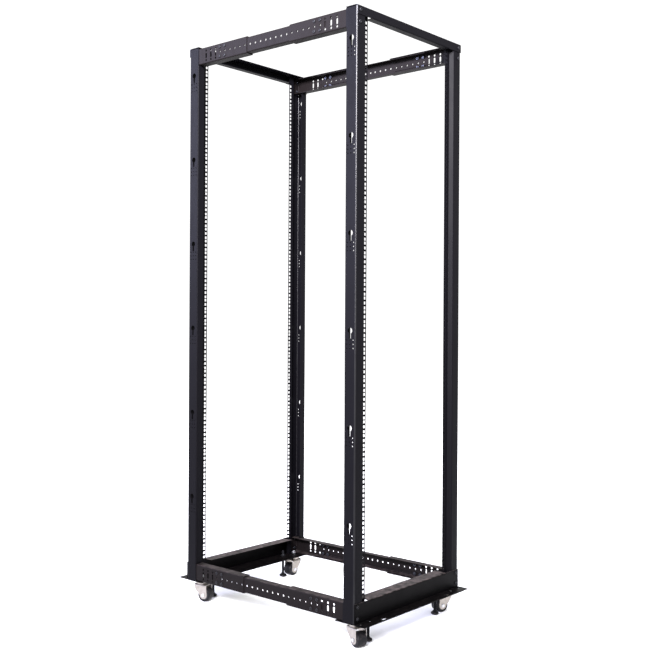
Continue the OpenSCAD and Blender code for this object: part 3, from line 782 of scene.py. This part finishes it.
for corner in CORNERS:
    foot, along, axle_way, trail, axle_z = caster_axes(corner)
    end = corner.split("_")[0]
    up = np.array([0.0, 0.0, 1.0])
    centre = foot + along * trail + up * axle_z
    upright = (along, axle_way, up)
    spinning = (along, -up, axle_way)
    add_piece(f"race_and_stem_{corner}", [put(s, foot, *upright) for s in caster_stem()],
              bright_zinc, f"{end}_frame", [f"caster_stem_{corner}"])
    pressed = [put(s, foot, *upright) for s in (pressed_fork(trail), crown())]
    add_piece(f"pressed_fork_{corner}", pressed,
              darkened_fork_zinc, f"caster_{corner}", [f"caster_fork_{corner}"])
    bolt = axle_bolt(FORK_HALF + FORK_THICK)
    add_piece(f"axle_bolt_{corner}", [put(s, centre, *spinning) for s in bolt],
              bright_zinc, f"caster_{corner}", [f"caster_axle_{corner}"])
    add_piece(f"ribbed_hub_{corner}", [put(hub(), centre, *spinning)],
              hub_plastic, f"wheel_{corner}", [f"caster_hub_{corner}"])
    add_piece(f"tyre_{corner}", [put(tyre(), centre, *spinning)],
              tyre_rubber, f"wheel_{corner}", [f"caster_tyre_{corner}"])

# %% [markdown]
# ## Levelling feet
# Each foot is a threaded rod in a moulded pad. The thread is a real helix: the radius follows a
# triangle wave of height over pitch minus turn. The pad has a knurled grip ring, made by a cosine of
# sixteen times the angle, so that it can be turned by hand.

# %% Levelling feet
def threaded_rod(r, low, high, pitch):
    """On Z: a helix between a plain end at the pad and a chamfered tip."""
    rows = np.linspace(low, high - 1.2 * MM, int((high - low) / pitch * 6))
    return lathe([(r, z) for z in rows] + [(r * 0.75, high)], 24, thread(pitch, 0.09 * r * 2))


def foot_pad(r, low, high):
    """On Z: a flat sole with a rounded edge, a grip ring, a cone and a collar for the rod."""
    tall = high - low
    profile = ([(r * 0.80, low), (r * 0.94, low)] + arc((r * 0.93, low + 1.2 * MM), r * 0.07, -80, 0, 5)
               + [(r, low + tall * 0.44), (r * 0.95, low + tall * 0.52), (r * 0.74, low + tall * 0.62),
                  (r * 0.56, low + tall * 0.76), (r * 0.54, high - 0.5 * MM), (r * 0.50, high),
                  (r * 0.30, high)])

    def grip(angle, radius, z):
        ringed = (radius > r * 0.97) & (z > low + 2 * MM)
        return np.where(ringed, radius - 0.5 * MM * (0.5 - 0.5 * np.cos(16 * angle)), radius)

    return lathe(profile, 96, grip)


for corner in CORNERS:
    for kind in ("foot_screw", "foot_pad"):
        low, high = (np.array(p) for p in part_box(f"{kind}_{corner}"))
        spot = np.array([(low[0] + high[0]) / 2, (low[1] + high[1]) / 2, 0.0])
        r = (high[0] - low[0]) / 2
        if kind == "foot_screw":
            shape = threaded_rod(r, low[2], high[2], 1.5 * MM)
            material, slot = oxide_black, "black_screw"
        else:
            shape = foot_pad(r, low[2], high[2])
            material, slot = foot_plastic, "foot_black"
        add_piece(f"turned_{kind}_{corner}", [put(shape, spot, (1, 0, 0), (0, 1, 0), (0, 0, 1))],
                  material, f"foot_{corner}", [f"{kind}_{corner}"])

# %% [markdown]
# ## The floor's paint
# A matt, nearly white floor, with the faintest drift in tone, so that it doesn't look like paper.

# %% Floor paint and the end
paint = Finish("pale_floor", Roughness=0.9)
floor.data.materials.append(paint.link(
    Base_Color=paint.mix(paint.noise(0.8), colour(0.98, 0.98, 0.98), colour(0.99, 0.99, 0.99))))
